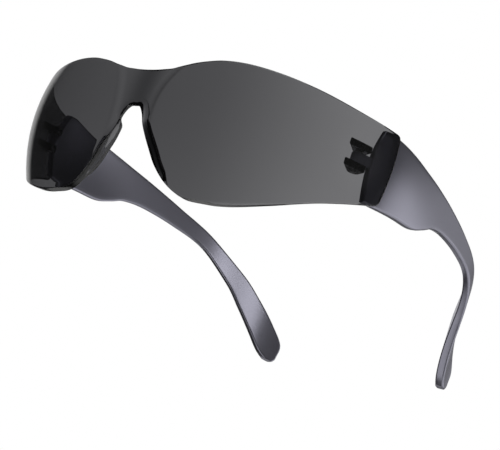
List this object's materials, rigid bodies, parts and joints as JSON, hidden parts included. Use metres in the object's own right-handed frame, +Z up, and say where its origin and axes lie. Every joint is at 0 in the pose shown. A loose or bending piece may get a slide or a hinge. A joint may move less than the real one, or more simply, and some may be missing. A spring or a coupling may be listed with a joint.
{
  "type": "safety glasses",
  "caption": "Wraparound safety glasses: tinted one-piece shield with moulded nose flanges, two wide temples that fold inwards on vertical hinge pins.",
  "frame": {"origin": "on the table under the middle of the glasses' bounding box", "axes": "+Z up from the table, +X to the wearer's left, -Y the way the wearer looks; the temples run back along +Y"},
  "size_m": [0.1388, 0.1488, 0.0416],
  "materials": {
    "tinted_shield": "polished, smoke tint, see-through",
    "temple_plastic": "satin, grey with a violet cast",
    "pin_steel": "plain turned steel"
  },
  "bodies": {
    "front": {"lens_shield": "tinted_shield", "hinge_pin_left": "pin_steel", "hinge_pin_right": "pin_steel"},
    "left_temple": {"temple_left": "temple_plastic"},
    "right_temple": {"temple_right": "temple_plastic"}
  },
  "joints": [
    {"name": "left_temple_fold", "type": "hinge", "parent": "front", "child": "left_temple", "pos_m": [0.06156, -0.04256, 0.02665], "axis": [0, -0.0491, 0.9988], "range_deg": [0, 80]},
    {"name": "right_temple_fold", "type": "hinge", "parent": "front", "child": "right_temple", "pos_m": [-0.06156, -0.04256, 0.02665], "axis": [0, 0.0491, -0.9988], "range_deg": [0, 70]}
  ]
}
